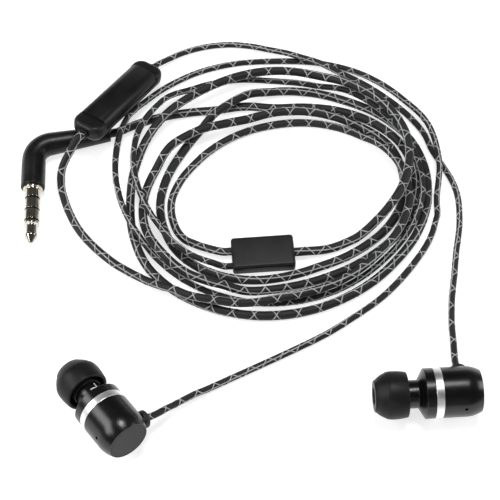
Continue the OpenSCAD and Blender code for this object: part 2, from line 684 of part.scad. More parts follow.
on_plug() jack_sleeve();
on_plug() jack_ring_2();
on_plug() jack_ring_1();
on_plug() jack_tip();
on_plug() jack_insulators();
main_cord_coil();
main_cord_lead();
remote_cord_coil();
remote_cord_lead();
left_cord_coil();
left_cord_lead();
right_cord_lead();
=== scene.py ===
import math
import bpy
import bmesh
from mathutils import Matrix, Vector


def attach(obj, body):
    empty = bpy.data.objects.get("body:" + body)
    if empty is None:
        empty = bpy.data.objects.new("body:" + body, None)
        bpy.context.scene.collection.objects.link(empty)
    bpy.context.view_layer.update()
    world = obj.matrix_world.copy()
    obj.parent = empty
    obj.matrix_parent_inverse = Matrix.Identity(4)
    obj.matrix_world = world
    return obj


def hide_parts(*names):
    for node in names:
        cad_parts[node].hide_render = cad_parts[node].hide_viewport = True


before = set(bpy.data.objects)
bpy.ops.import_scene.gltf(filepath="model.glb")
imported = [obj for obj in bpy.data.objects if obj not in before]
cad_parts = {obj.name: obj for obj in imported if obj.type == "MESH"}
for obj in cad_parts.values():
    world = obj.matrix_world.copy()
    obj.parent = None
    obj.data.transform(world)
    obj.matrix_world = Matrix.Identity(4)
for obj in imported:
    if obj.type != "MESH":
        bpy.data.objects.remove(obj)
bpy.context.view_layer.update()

# ---- Camera: a long lens that looks down on the set at 60 degrees, from in front of the
# earbuds. The set lies on the plane z = 0, and y runs away from the camera.
aim = Vector((-0.0038, 0.0405, 0))
eye = Vector((-0.0038, -0.1042, 0.2506))
camera_data = bpy.data.cameras.new("view")
camera_data.sensor_width = 36
camera_data.lens = 92.6
camera_data.clip_start = 0.01
camera = bpy.data.objects.new("view", camera_data)
camera.location = eye
camera.rotation_euler = (aim - eye).to_track_quat("-Z", "Y").to_euler()
bpy.context.scene.collection.objects.link(camera)
bpy.context.scene.camera = camera
bpy.context.scene.view_settings.view_transform = "Standard"

# ---- Cords: charcoal woven sheaths over copper strands, each one unbroken length.
# They leave the pieces straight, wind about one middle and lie flat, and where a
# strand crosses another it rises over it. Routes and places are in millimetres, times mm.
mm = 0.001


def spun(degrees, axis):
    return Matrix.Rotation(math.radians(degrees), 4, axis)


def resting(at, tilt, yaw):
    """The place of a piece that is turned about Y by tilt and about Z by yaw."""
    return Matrix.Translation(Vector(at) * mm) @ spun(yaw, "Z") @ spun(tilt, "Y") @ Matrix.Scale(mm, 4)


plug_angle = 101
plug_arm = 17.8
arm_drop = 0.75
roll_axis = Vector((math.cos(math.radians(plug_angle)), -math.sin(math.radians(plug_angle)), 0))
roll = -math.asin(arm_drop / (plug_arm * math.sin(math.radians(plug_angle))))
left_place = resting((-33.6, -1.5, 6.65), 100, 128)
right_place = resting((34.85, 3.3, 5.28), 90, 183.4)
splitter_place = resting((-0.9, 38.5, 0), 0, 4.5)
remote_place = resting((-34.8, 78.15, 5.5), 14, 59)
plug_place = resting((-54.1, 66.7, 2.75), 0, 14) @ Matrix.Rotation(roll, 4, roll_axis)


def lying(x, y, z):
    return Vector((x, y, z)) * mm


def laid(*places):
    return [lying(*place) for place in places]


boot_heading = -68
boot_back = -5.5
built_boot_end = 8.2
in_boot = -1.6


def at_boot(place, far):
    """A point on the boot's axis, far beyond the end of the boot as it is built. The boot
    that is shown ends at boot_end, nearer to the shell."""
    turn = math.radians(boot_heading)
    reach = built_boot_end + far
    return place @ Vector((reach * math.cos(turn), reach * math.sin(turn), boot_back))


splitter_half_x = 7
splitter_height = 3.2
remote_cord_y = 1.3
left_cord_y = -2.6


def at_splitter(way, y, far, up=0):
    return splitter_place @ Vector((way * (splitter_half_x + far), y, splitter_height / 2 + up))


def at_arm(far):
    return plug_place @ Vector((plug_arm + far, 0, 0))


collar_end = 15


def at_collar(way, far):
    return remote_place @ Vector((way * (collar_end + far), 0, 0))


def smooth(t):
    t = min(max(t, 0), 1)
    return t * t * (3 - 2 * t)


def cubic(a, b, c, d, t):
    return 0.5 * (2 * b + (c - a) * t + (2 * a - 5 * b + 4 * c - d) * t * t
                  + (3 * b - a - 3 * c + d) * t * t * t)


def winding(start, way, radii, base, rises):
    """Points every 15 degrees about the coil's middle, from one radius per 30 degrees.
    A rise is two headings and the height by which the strand climbs between them."""
    middle = (2.2, 52.5)
    ramp = 16
    last = len(radii) - 1
    points = []
    for m in range(2 * last + 1):
        i = min(m // 2, last - 1)
        r = cubic(radii[max(i - 1, 0)], radii[i], radii[i + 1], radii[min(i + 2, last)], m / 2 - i)
        heading = start + way * 15 * m
        rise = max(height * smooth((heading - min(a, b) + ramp) / ramp)
                   * smooth((max(a, b) + ramp - heading) / ramp) for a, b, height in rises)
        turn = math.radians(heading)
        points.append(lying(middle[0] + r * math.cos(turn), middle[1] + r * math.sin(turn), base + rise))
    return points


def run(knots, per_span, skip=0):
    """Points through the knots after the skipped ones, smooth in plan, eased in height."""
    points = []
    for i in range(skip, len(knots) - 1):
        before = knots[i - 1] if i else 2 * knots[0] - knots[1]
        after = knots[i + 2] if i + 2 < len(knots) else 2 * knots[-1] - knots[-2]
        for k in range(per_span):
            point = cubic(before, knots[i], knots[i + 1], after, k / per_span)
            point.z = knots[i].z + (knots[i + 1].z - knots[i].z) * smooth(k / per_span)
            points.append(point)
    return points


def flowing(points, step=0.0006):
    """The smooth line through the points: it bows between them in plan, and its
    height never passes theirs."""
    spans = [(b - a).length for a, b in zip(points, points[1:])]
    slopes = [(b - a) / s for a, b, s in zip(points, points[1:], spans)]
    tangents = [slopes[0]]
    for (u, v), (s, t) in zip(zip(slopes, slopes[1:]), zip(spans, spans[1:])):
        way = (u * t + v * s) / (s + t)
        way.z = 0 if u.z * v.z <= 0 else 2 * u.z * v.z / (u.z + v.z)
        tangents.append(way)
    tangents.append(slopes[-1])
    line = []
    for i, span in enumerate(spans):
        count = max(2, round(span / step))
        for k in range(count):
            t = k / count
            share = t * t * (3 - 2 * t)
            leaving = t * (1 - t) * (1 - t)
            arriving = t * t * (t - 1)
            line.append((1 - share) * points[i] + share * points[i + 1]
                        + span * (leaving * tangents[i] + arriving * tangents[i + 1]))
    return line + [points[-1]]


def swept(stations, sides):
    """A tube through stations (point, way, radius, run), with a UV of turn and run."""
    bm = bmesh.new()
    uv = bm.loops.layers.uv.new("run")
    rings = []
    for point, way, radius, _ in stations:
        side = way.cross(Vector((0, 0, 1))).normalized()
        up = side.cross(way).normalized()
        turns = [2 * math.pi * (k + 0.5) / sides for k in range(sides)]
        rings.append([bm.verts.new(point + radius * (math.cos(w) * side + math.sin(w) * up)) for w in turns])
    for i in range(len(rings) - 1):
        for k in range(sides):
            j = (k + 1) % sides
            face = bm.faces.new((rings[i][j], rings[i][k], rings[i + 1][k], rings[i + 1][j]))
            for loop, (turn, run_at) in zip(face.loops, (
                    (k + 1, stations[i][3]), (k, stations[i][3]),
                    (k, stations[i + 1][3]), (k + 1, stations[i + 1][3]))):
                loop[uv].uv = (turn / sides, run_at)
    bm.faces.new(rings[0])
    bm.faces.new(rings[-1][::-1])
    return bm


def finished(name, bm, material, body, nodes=(), crease=35):
    """The piece as a closed mesh that faces outwards, with sharp edges where it turns."""
    bmesh.ops.recalc_face_normals(bm, faces=bm.faces)
    for face in bm.faces:
        face.smooth = True
    for edge in bm.edges:
        edge.smooth = edge.calc_face_angle(0) < math.radians(crease)
    mesh = bpy.data.meshes.new(name)
    bm.to_mesh(mesh)
    bm.free()
    mesh.materials.append(material)
    piece = bpy.data.objects.new(name, mesh)
    bpy.context.scene.collection.objects.link(piece)
    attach(piece, body)
    if nodes:
        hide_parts(*nodes)
    return piece


def new_material(name, colour, rough, metal=0.0, **sockets):
    """A Principled material and its node tree, with its plain numbers on the shader."""
    material = bpy.data.materials.new(name)
    material.use_nodes = True
    shader = material.node_tree.nodes["Principled BSDF"]
    shader.inputs["Base Color"].default_value = (*colour, 1)
    shader.inputs["Roughness"].default_value = rough
    shader.inputs["Metallic"].default_value = metal
    for socket, value in sockets.items():
        shader.inputs[socket.replace("_", " ")].default_value = value
    return material, material.node_tree, shader


def calc(tree, operation, *values):
    """A Math node; a value is a number or another node's socket."""
    node = tree.nodes.new("ShaderNodeMath")
    node.operation = operation
    for socket, value in zip(node.inputs, values):
        if isinstance(value, (int, float)):
            socket.default_value = value
        else:
            tree.links.new(value, socket)
    return node.outputs[0]


# Fine mottle: small soft unevenness of a moulded or woven surface, used by most finishes.
mottle = bpy.data.node_groups.new("Fine mottle", "ShaderNodeTree")
mottle.interface.new_socket("Grain per metre", in_out="INPUT", socket_type="NodeSocketFloat")
mottle.interface.new_socket("Blotch per metre", in_out="INPUT", socket_type="NodeSocketFloat")
mottle.interface.new_socket("Grain", in_out="OUTPUT", socket_type="NodeSocketFloat")
mottle.interface.new_socket("Blotch", in_out="OUTPUT", socket_type="NodeSocketFloat")
mottle_in = mottle.nodes.new("NodeGroupInput")
mottle_out = mottle.nodes.new("NodeGroupOutput")
mottle_at = mottle.nodes.new("ShaderNodeTexCoord")
for label, detail in (("Grain", 4), ("Blotch", 2)):
    noise = mottle.nodes.new("ShaderNodeTexNoise")
    noise.inputs["Detail"].default_value = detail
    mottle.links.new(mottle_at.outputs["Object"], noise.inputs["Vector"])
    mottle.links.new(mottle_in.outputs[label + " per metre"], noise.inputs["Scale"])
    mottle.links.new(noise.outputs["Fac"], mottle_out.inputs[label])


def add_wear(tree, shader, rough, grain, blotch, bump):
    """Blotches shift the gloss a little, and the grain gives the relief."""
    group = tree.nodes.new("ShaderNodeGroup")
    group.node_tree = mottle
    group.inputs["Grain per metre"].default_value = grain
    group.inputs["Blotch per metre"].default_value = blotch
    spread = tree.nodes.new("ShaderNodeMapRange")
    spread.inputs["From Min"].default_value = 0.3
    spread.inputs["From Max"].default_value = 0.7
    spread.inputs["To Min"].default_value = rough[0]
    spread.inputs["To Max"].default_value = rough[1]
    tree.links.new(group.outputs["Blotch"], spread.inputs["Value"])
    tree.links.new(spread.outputs["Result"], shader.inputs["Roughness"])
    relief = tree.nodes.new("ShaderNodeBump")
    relief.inputs["Strength"].default_value = bump
    relief.inputs["Distance"].default_value = 0.00005
    tree.links.new(group.outputs["Grain"], relief.inputs["Height"])
    tree.links.new(relief.outputs["Normal"], shader.inputs["Normal"])
    return group, relief


def add_mottle(tree, shader, dark, light, rough, grain, blotch, bump):
    """The same wear, with blotches that shift the colour as well."""
    group, _ = add_wear(tree, shader, rough, grain, blotch, bump)
    ramp = tree.nodes.new("ShaderNodeValToRGB")
    ramp.color_ramp.elements[0].position = 0.35
    ramp.color_ramp.elements[0].color = (*dark, 1)
    ramp.color_ramp.elements[1].position = 0.65
    ramp.color_ramp.elements[1].color = (*light, 1)
    tree.links.new(group.outputs["Blotch"], ramp.inputs["Fac"])
    tree.links.new(ramp.outputs["Color"], shader.inputs["Base Color"])


def woven_sheath(name, around, repeat):
    """Charcoal sheath: small checks of the weave, wound round by the piece's own UV."""
    material, tree, shader = new_material(name, (0.012, 0.012, 0.012), 0.6, Specular_IOR_Level=0.3)
    place = tree.nodes.new("ShaderNodeUVMap")
    place.uv_map = "run"
    split = tree.nodes.new("ShaderNodeSeparateXYZ")
    tree.links.new(place.outputs["UV"], split.inputs["Vector"])
    turn = calc(tree, "SINE", calc(tree, "MULTIPLY", split.outputs["X"], 2 * math.pi * around))
    along = calc(tree, "COSINE", calc(tree, "MULTIPLY", split.outputs["Y"], 2 * math.pi / repeat))
    check = calc(tree, "MULTIPLY_ADD", calc(tree, "MULTIPLY", turn, along), 0.5, 0.5)
    ramp = tree.nodes.new("ShaderNodeValToRGB")
    ramp.color_ramp.elements[0].color = (0.004, 0.004, 0.004, 1)
    ramp.color_ramp.elements[1].color = (0.027, 0.0275, 0.0265, 1)
    tree.links.new(check, ramp.inputs["Fac"])
    tree.links.new(ramp.outputs["Color"], shader.inputs["Base Color"])
    _, relief = add_wear(tree, shader, (0.48, 0.6), grain=9000, blotch=500, bump=0.3)
    weave = tree.nodes.new("ShaderNodeBump")
    weave.inputs["Strength"].default_value = 0.5
    weave.inputs["Distance"].default_value = 0.00006
    tree.links.new(check, weave.inputs["Height"])
    tree.links.new(relief.outputs["Normal"], weave.inputs["Normal"])
    tree.links.new(weave.outputs["Normal"], shader.inputs["Normal"])
    return material


thread_grey, thread_tree, thread_shader = new_material("light grey thread", (0.40, 0.41, 0.40), 0.55)
add_mottle(thread_tree, thread_shader, (0.33, 0.34, 0.335), (0.48, 0.49, 0.482), (0.5, 0.62),
           grain=7000, blotch=900, bump=0.4)

# Each sheath carries four light threads: two wound the opposite ways, and two that run
# along it where the wound ones turn. The pattern turns slowly as the cord twists.
wound = bpy.data.node_groups.new("Wound threads", "GeometryNodeTree")
wound.interface.new_socket("Cord line", in_out="INPUT", socket_type="NodeSocketGeometry")
for label in ("Winding radius", "Pitch", "Thread radius", "Step", "Start", "Twist per metre"):
    wound.interface.new_socket(label, in_out="INPUT", socket_type="NodeSocketFloat")
wound.interface.new_socket("Finish", in_out="INPUT", socket_type="NodeSocketMaterial")
wound.interface.new_socket("Threads", in_out="OUTPUT", socket_type="NodeSocketGeometry")
wound_in = wound.nodes.new("NodeGroupInput")
wound_out = wound.nodes.new("NodeGroupOutput")


def wound_node(kind, inputs=(), **settings):
    """A node of the threads' tree; inputs pairs a socket's name or number with a value."""
    node = wound.nodes.new(kind)
    for key, value in settings.items():
        setattr(node, key, value)
    for socket, value in inputs:
        if isinstance(value, bpy.types.NodeSocket):
            wound.links.new(value, node.inputs[socket])
        else:
            node.inputs[socket].default_value = value
    return node.outputs[0]


line = wound_node("GeometryNodeMeshToCurve", [("Mesh", wound_in.outputs["Cord line"])])
line = wound_node("GeometryNodeSetCurveNormal", [("Curve", line)], mode="Z_UP")
line = wound_node("GeometryNodeResampleCurve", [("Curve", line), ("Length", wound_in.outputs["Step"])],
                  mode="LENGTH")
length_at = wound.nodes.new("GeometryNodeSplineParameter").outputs["Length"]
normal_at = wound_node("GeometryNodeInputNormal")
tangent_at = wound_node("GeometryNodeInputTangent")
side_at = wound_node("ShaderNodeVectorMath", [(0, tangent_at), (1, normal_at)], operation="CROSS_PRODUCT")
round_section = wound_node("GeometryNodeCurvePrimitiveCircle",
                           [("Resolution", 6), ("Radius", wound_in.outputs["Thread radius"])])
together = wound.nodes.new("GeometryNodeJoinGeometry")
turns = calc(wound, "DIVIDE", length_at, wound_in.outputs["Pitch"])
even = calc(wound, "MULTIPLY", turns, 2 * math.pi)
sway = calc(wound, "SINE", calc(wound, "MULTIPLY", even, 2))
stepped = calc(wound, "MULTIPLY_ADD", sway, 0.12, even)
drift = calc(wound, "MULTIPLY_ADD", length_at, wound_in.outputs["Twist per metre"],
             wound_in.outputs["Start"])
for way, aside in ((1, 0), (-1, 0), (0, 0.5), (0, -0.5)):
    turn = calc(wound, "MULTIPLY_ADD", stepped, way, drift)
    turn = calc(wound, "ADD", turn, aside * math.pi)
    reach = []
    for kind, direction in (("COSINE", normal_at), ("SINE", side_at)):
        share = calc(wound, "MULTIPLY", calc(wound, kind, turn), wound_in.outputs["Winding radius"])
        scaled = wound.nodes.new("ShaderNodeVectorMath")
        scaled.operation = "SCALE"
        wound.links.new(direction, scaled.inputs[0])
        wound.links.new(share, scaled.inputs["Scale"])
        reach.append(scaled.outputs[0])
    offset = wound_node("ShaderNodeVectorMath", [(0, reach[0]), (1, reach[1])], operation="ADD")
    helix = wound_node("GeometryNodeSetPosition", [("Geometry", line), ("Offset", offset)])
    helix = wound_node("GeometryNodeSetCurveNormal", [("Curve", helix)], mode="MINIMUM_TWIST")
    body = wound_node("GeometryNodeCurveToMesh",
                      [("Curve", helix), ("Profile Curve", round_section), ("Fill Caps", True)])
    wound.links.new(body, together.inputs[0])
soft = wound_node("GeometryNodeSetShadeSmooth", [("Geometry", together.outputs[0])])
real = wound_node("GeometryNodeRealizeInstances", [("Geometry", soft)])
ready = wound_node("GeometryNodeSetMaterial", [("Geometry", real), ("Material", wound_in.outputs["Finish"])])
wound.links.new(ready, wound_out.inputs["Threads"])
wound_sockets = {item.name: item.identifier for item in wound.interface.items_tree}


def threads_on(name, line, radius, pitch, start, twist):
    """The threads of one cord, baked to a plain mesh."""
    mesh = bpy.data.meshes.new(name + "_line")
    mesh.from_pydata(line, [(i, i + 1) for i in range(len(line) - 1)], [])
    guide = bpy.data.objects.new(name + "_line", mesh)
    bpy.context.scene.collection.objects.link(guide)
    maker = guide.modifiers.new("threads", "NODES")
    maker.node_group = wound
    for label, value in (("Winding radius", radius), ("Pitch", pitch), ("Thread radius", 0.00015),
                         ("Step", 0.00028), ("Start", start), ("Twist per metre", twist),
                         ("Finish", thread_grey)):
        maker[wound_sockets[label]] = value
    made = bpy.data.meshes.new_from_object(guide.evaluated_get(bpy.context.evaluated_depsgraph_get()))
    made.name = name
    guide.modifiers.remove(maker)
    bpy.data.objects.remove(guide)
    bpy.data.meshes.remove(mesh)
    piece = bpy.data.objects.new(name, made)
    bpy.context.scene.collection.objects.link(piece)
    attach(piece, "earphones")
    return piece


# Where each cord runs, as radii about the coil's middle, rises over other strands and
# single points: the main cord from the splitter to the plug, then the thinner ones.
main_wound = winding(300, 1, [
    15.6, 19.8, 27.8, 34.4, 35.6, 35.9, 34.7, 34.6, 33.4, 33.4, 30.9, 29, 28.8, 30.7, 34.6,
    36.2, 33.3, 31.2, 27.5, 25.8, 26.5, 25.8, 22.6, 19.8, 19.4, 23, 28.8,
    31, 27, 24.2, 23.6, 27.8, 30.4, 29.8, 25.9, 22.5, 22.5, 26, 31.7, 33.6, 29.8, 26.6, 29.9], 1, [
    (300, 302, 0.5), (352, 416, 4.8), (408, 502, 2.5), (822, 842, 2.5), (1145, 1180, 1.6),
    (1205, 1230, 3), (1284, 1298, 3.7), (1298, 1322, 2.4)])
main_tail = run([main_wound[-3], main_wound[-1], *laid((-22.5, 77, 1), (-30, 74.5, 1.2)),
                 at_arm(2), at_arm(0)], 3, 1)
main_route = [at_splitter(1, 0, 0), at_splitter(1, 0, 2)] + main_wound[1:] + main_tail[1:-2] + [at_arm(0)]

remote_wound = winding(180, -1, [24, 21.6, 20.8, 21.8, 25, 29, 30.3, 27.2, 25.6, 26, 30.2], 0.9,
                       [(24, -124, 2.4)])
remote_head = run([at_splitter(-1, remote_cord_y, 0), at_splitter(-1, remote_cord_y, 1.8),
                   *laid((-13, 40.1, 1.3), (-16.5, 41.6, 1), (-19.8, 44.2, 0.9)),
                   remote_wound[0], remote_wound[2]], 2)
remote_tail = run([remote_wound[-3], remote_wound[-1],
                   *laid((-20, 28.5, 3.3), (-27, 32, 1.5), (-34, 36.5, 0.9), (-39.5, 41.5, 0.9),
                         (-43, 46, 0.9), (-45.5, 51, 0.9), (-47, 55.8, 3), (-46.4, 59.4, 6.1)),
                   at_collar(-1, 1.8), at_collar(-1, 0)], 2, 1)
remote_route = [remote_head[0]] + remote_head[2:10] + remote_wound + remote_tail[1:-1] + [at_collar(-1, 0)]

left_wound = winding(210, -1, [
    25.6, 30.6, 37, 37.9, 34.9, 35.2, 34.8, 33.2, 28.4, 26.2, 25.9, 27.3, 30.5, 35.6, 41, 42, 41,
    42.7, 41.8, 36.8], 0.7, [
    (222, 134, 2.8), (56, -6, 2.3), (-162, -176, 2.4), (-202, -214, 3), (-334, -346, 1.7)])
left_head = run([at_splitter(-1, left_cord_y, 0, 0.2), at_splitter(-1, left_cord_y, 1.4, 0.2),
                 lying(-12.2, 35.6, 3), left_wound[0], left_wound[2]], 2)
left_tail = run([left_wound[-3], left_wound[-1],
                 *laid((38.5, 48, 0.7), (36.5, 42.5, 0.7), (33, 37, 0.7), (29, 32, 0.7), (24.5, 27.5, 0.7),
                       (18.5, 23, 0.7), (12.5, 19, 0.7), (5, 15, 0.7), (-3, 11, 0.7), (-11, 7, 0.8),
                       (-17.5, 3.5, 1.5)),
                 at_boot(left_place, 1.4), at_boot(left_place, in_boot)], 3, 1)
left_route = [left_head[0]] + left_head[2:6] + left_wound + left_tail[1:-2] + [at_boot(left_place, in_boot)]

right_tail = run([at_collar(1, 0), at_collar(1, 1.4),
                  *laid((-24.6, 93.2, 1.3), (-21, 95.6, 0.9), (-16.5, 97.5, 0.7), (-11.5, 98.5, 0.7),
                        (-6, 98.5, 0.7), (0, 97, 1.1), (6, 94.5, 2.3), (12.5, 92, 2.4), (18.3, 89.2, 1.5),
                        (23.5, 86.6, 0.8), (29.2, 82, 0.8), (34, 77, 0.8), (37.3, 72, 0.8), (39, 67, 0.7),
                        (41, 63, 0.7), (43, 58.5, 0.7), (44, 53.5, 0.7), (43.7, 46.5, 0.7), (42.5, 40, 0.7),
                        (41.5, 33.5, 0.7), (40.5, 27.5, 0.7), (40, 21.5, 0.7), (40, 17, 0.8)),
                  at_boot(right_place, 1.4), at_boot(right_place, in_boot)], 2)
right_route = [right_tail[0]] + right_tail[2:-1] + [at_boot(right_place, in_boot)]

# The weave repeats along each sheath every weave_repeat metres, and the middle of each
# thread lies thread_sunk metres under the sheath's surface.
sheath_sides = 14
weave_repeat = 0.0009
thread_sunk = 0.00008
cords = {}
for name, route, diameter, pitch, start, twist, around, nodes in (
        ("main_cord", main_route, 0.002, 0.0048, 0.3, 42, 14, ("main_cord_coil", "main_cord_lead")),
        ("remote_cord", remote_route, 0.0018, 0.0046, 2.1, 55, 13, ("remote_cord_coil", "remote_cord_lead")),
        ("left_cord", left_route, 0.0014, 0.0042, 1.1, -48, 11, ("left_cord_coil", "left_cord_lead")),
        ("right_cord", right_route, 0.0014, 0.0042, 2.6, 38, 11, ("right_cord_lead",))):
    line = flowing(route)
    stations = []
    ahead = 0
    for i, point in enumerate(line):
        way = (line[min(i + 1, len(line) - 1)] - line[max(i - 1, 0)]).normalized()
        ahead += (point - line[i - 1]).length if i else 0
        stations.append((point, way, diameter / 2, ahead))
    sheath = woven_sheath(name + "_sheath", around, weave_repeat)
    cord = finished(name, swept(stations, sheath_sides), sheath, "earphones", nodes)
    threads = threads_on(name + "_threads", line, diameter / 2 - thread_sunk, pitch, start, twist)
    cords[name] = (cord, line, ahead, diameter, threads)


# ---- Earbud shells: two black moulded halves, turned about one axis. The front half has a
# cone, a neck and the nozzle with its lip, and its spigot slides into the rear half, which
# narrows to its end and has a vent hole and the boss for the cable boot.
def rounded(corners, steps=4):
    """Corner points (radius, height, fillet) as an outline with its fillets drawn."""
    points = []
    count = len(corners)
    for i, (r, z, fillet) in enumerate(corners):
        here = Vector((r, z))
        if not fillet:
            points.append(here)
            continue
        before = Vector(corners[i - 1][:2]) - here
        after = Vector(corners[(i + 1) % count][:2]) - here
        half = before.angle(after) / 2
        cut = min(fillet / math.tan(half), 0.42 * before.length, 0.42 * after.length)
        start = here + before.normalized() * cut
        end = here + after.normalized() * cut
        points.append(start + before.normalized() * min(0.05, 0.05 * before.length))
        for k in range(steps + 1):
            t = k / steps
            points.append((1 - t) ** 2 * start + 2 * t * (1 - t) * here + t * t * end)
        points.append(end + after.normalized() * min(0.05, 0.05 * after.length))
    return points


def turned(outline, segments=96):
    """The closed outline turned about the z axis."""
    bm = bmesh.new()
    rings = []
    for r, z in outline:
        if r < 1e-6:
            rings.append([bm.verts.new((0, 0, z))])
        else:
            rings.append([bm.verts.new((r * math.cos(2 * math.pi * k / segments),
                                        r * math.sin(2 * math.pi * k / segments), z))
                          for k in range(segments)])
    for low, high in zip(rings, rings[1:] + rings[:1]):
        if len(low) == len(high) == 1:
            continue
        for k in range(segments):
            j = (k + 1) % segments
            corners = [low[k % len(low)], low[j % len(low)], high[j % len(high)], high[k % len(high)]]
            bm.faces.new(list(dict.fromkeys(corners)))
    bmesh.ops.recalc_face_normals(bm, faces=bm.faces)
    return bm


def combined(bm, others):
    """bm after each of the others, a UNION, DIFFERENCE or INTERSECT with a closed mesh."""
    meshes = []
    for part in [bm] + [other for _, other in others]:
        meshes.append(bpy.data.meshes.new("step"))
        part.to_mesh(meshes[-1])
        part.free()
    objects = [bpy.data.objects.new("step", mesh) for mesh in meshes]
    for step in objects:
        bpy.context.scene.collection.objects.link(step)
    for (kind, _), other in zip(others, objects[1:]):
        join = objects[0].modifiers.new("join", "BOOLEAN")
        join.operation = kind
        join.solver = "EXACT"
        join.object = other
    made = bpy.data.meshes.new_from_object(
        objects[0].evaluated_get(bpy.context.evaluated_depsgraph_get()))
    for step in objects:
        bpy.data.objects.remove(step)
    result = bmesh.new()
    result.from_mesh(made)
    for mesh in meshes + [made]:
        bpy.data.meshes.remove(mesh)
    bmesh.ops.remove_doubles(result, verts=result.verts, dist=0.0005)
    return result


def moved(bm, matrix):
    bm.transform(matrix)
    return bm


shell_black, tree, shader = new_material("satin black shell", (0.003, 0.003, 0.003), 0.25)
add_mottle(tree, shader, (0.002, 0.002, 0.002), (0.004, 0.004, 0.004), (0.23, 0.28),
           grain=14000, blotch=260, bump=0.10)

buds = (("left", left_place), ("right", right_place))
shell_r = 5.25
seam = 0.79
spigot_r = 4.57
spigot_end = -2.08
cavity_r = 4.05
cone_from = 2.68
cone_to = 4.03
neck_r = 2.95
neck_end = 6.08
nozzle_r = 2.1
nozzle_end = 11.58
lip_r = 2.4
mouth_r = 2.2
screen_r = 1.75
screen_seat = 11.28
sound_r = 1.5
front_outline = rounded([
    (spigot_r, spigot_end, 0), (spigot_r, seam, 0), (shell_r, seam, 0.06), (shell_r, cone_from, 0.12),
    (neck_r, cone_to, 0.15), (neck_r, neck_end, 0.15), (nozzle_r, neck_end, 0.05),
    (nozzle_r, nozzle_end - 0.8, 0.05), (lip_r, nozzle_end - 0.6, 0.08), (lip_r, nozzle_end - 0.2, 0.1),
    (mouth_r, nozzle_end, 0.06), (screen_r, nozzle_end, 0.04), (screen_r, screen_seat, 0),
    (sound_r, screen_seat, 0.03), (sound_r, 4.2, 0.1), (cavity_r, 2.3, 0), (cavity_r, spigot_end, 0)])

rear_bore = 4.65
draw_from = -5.78
draw_length = 3.2
draw_in = 0.85
rear_end = draw_from - draw_length
pocket_r = 4.15
cap_seat = -8.13
ledge_r = 3.52
rear_outline = rounded([(rear_bore, -seam, 0), (shell_r, -seam, 0.06)]
                       + [(shell_r, z, 0) for z in (-2, -2.9, -3.5, -4.1, -4.6, -5.1, -5.5)]
                       + [(shell_r - draw_in * (k / 12) ** 2, draw_from - draw_length * k / 12, 0)
                          for k in range(12)]
                       + [(shell_r - draw_in, rear_end, 0.1), (pocket_r, rear_end, 0.04),
                          (pocket_r, cap_seat, 0), (ledge_r, cap_seat, 0), (ledge_r, cap_seat + 0.4, 0),
                          (4.25, cap_seat + 0.8, 0), (rear_bore, draw_from, 0), (rear_bore, -3.5, 0)])


def facing_out(heading, along):
    """Turns a piece made along z to stand out of the shell at a heading and a height."""
    return spun(heading, "Z") @ Matrix.Translation((0, 0, along)) @ spun(90, "Y")


boot_turn = facing_out(boot_heading, boot_back)
vent_turn = facing_out(boot_heading + 180, -5.28)
boss_r = 1.75
boss_top = 5.42
bore_r = 1.2
vent_r = 0.35
boss_outline = [(0, 4.8), (boss_r, 4.8), (boss_r, boss_top), (0, boss_top)]
bore_outline = [(0, 4), (bore_r, 4), (bore_r, 7), (0, 7)]
vent_outline = [(0, 4), (vent_r, 4), (vent_r, 7), (0, 7)]
for side, place in buds:
    finished(f"{side}_front_shell_skin", moved(turned(front_outline), place), shell_black, "earphones",
             [f"{side}_front_shell"])
    rear = combined(turned(rear_outline, 128), [
        ("UNION", moved(turned(boss_outline, 48), boot_turn)),
        ("DIFFERENCE", moved(turned(bore_outline, 48), boot_turn)),
        ("DIFFERENCE", moved(turned(vent_outline, 32), vent_turn))])
    finished(f"{side}_rear_shell_skin", moved(rear, place), shell_black, "earphones",
             [f"{side}_rear_shell"])

# ---- Trim rings: a polished steel ring between the two halves of each shell, pushed over
# the front half's spigot. It stands just proud of the shell and has eased edges.
steel, tree, shader = new_material("polished steel", (0.90, 0.90, 0.91), 0.36, 1.0)
add_mottle(tree, shader, (0.87, 0.87, 0.88), (0.93, 0.93, 0.94), (0.34, 0.40),
           grain=12000, blotch=300, bump=0.005)
ring_bore = 4.62
ring_r = 5.28
ring_half = 0.78
ring_outline = rounded([
    (ring_bore, -ring_half, 0), (ring_r - 0.04, -ring_half, 0.03), (ring_r, 0.1 - ring_half, 0.03),
    (ring_r, ring_half - 0.1, 0.03), (ring_r - 0.04, ring_half, 0.03), (ring_bore, ring_half, 0)])
for side, place in buds:
    finished(f"{side}_trim_ring_skin", moved(turned(ring_outline), place), steel, "earphones",
             [f"{side}_trim_ring"])

# ---- End caps: a bare dark grey moulded disc, pressed into the pocket in the end of each
# rear shell, flush with its rim.
cap_grey, tree, shader = new_material("dark grey cap", (0.012, 0.012, 0.0125), 0.42,
                                      Specular_IOR_Level=0.31)
add_mottle(tree, shader, (0.012, 0.012, 0.013), (0.017, 0.017, 0.018), (0.38, 0.46),
           grain=16000, blotch=300, bump=0.12)
cap_r = 4.12
cap_outline = rounded([(0, cap_seat, 0), (cap_r, cap_seat, 0), (cap_r, rear_end, 0.12), (0, rear_end, 0)])
for side, place in buds:
    finished(f"{side}_end_cap_skin", moved(turned(cap_outline), place), cap_grey, "earphones",
             [f"{side}_end_cap"])

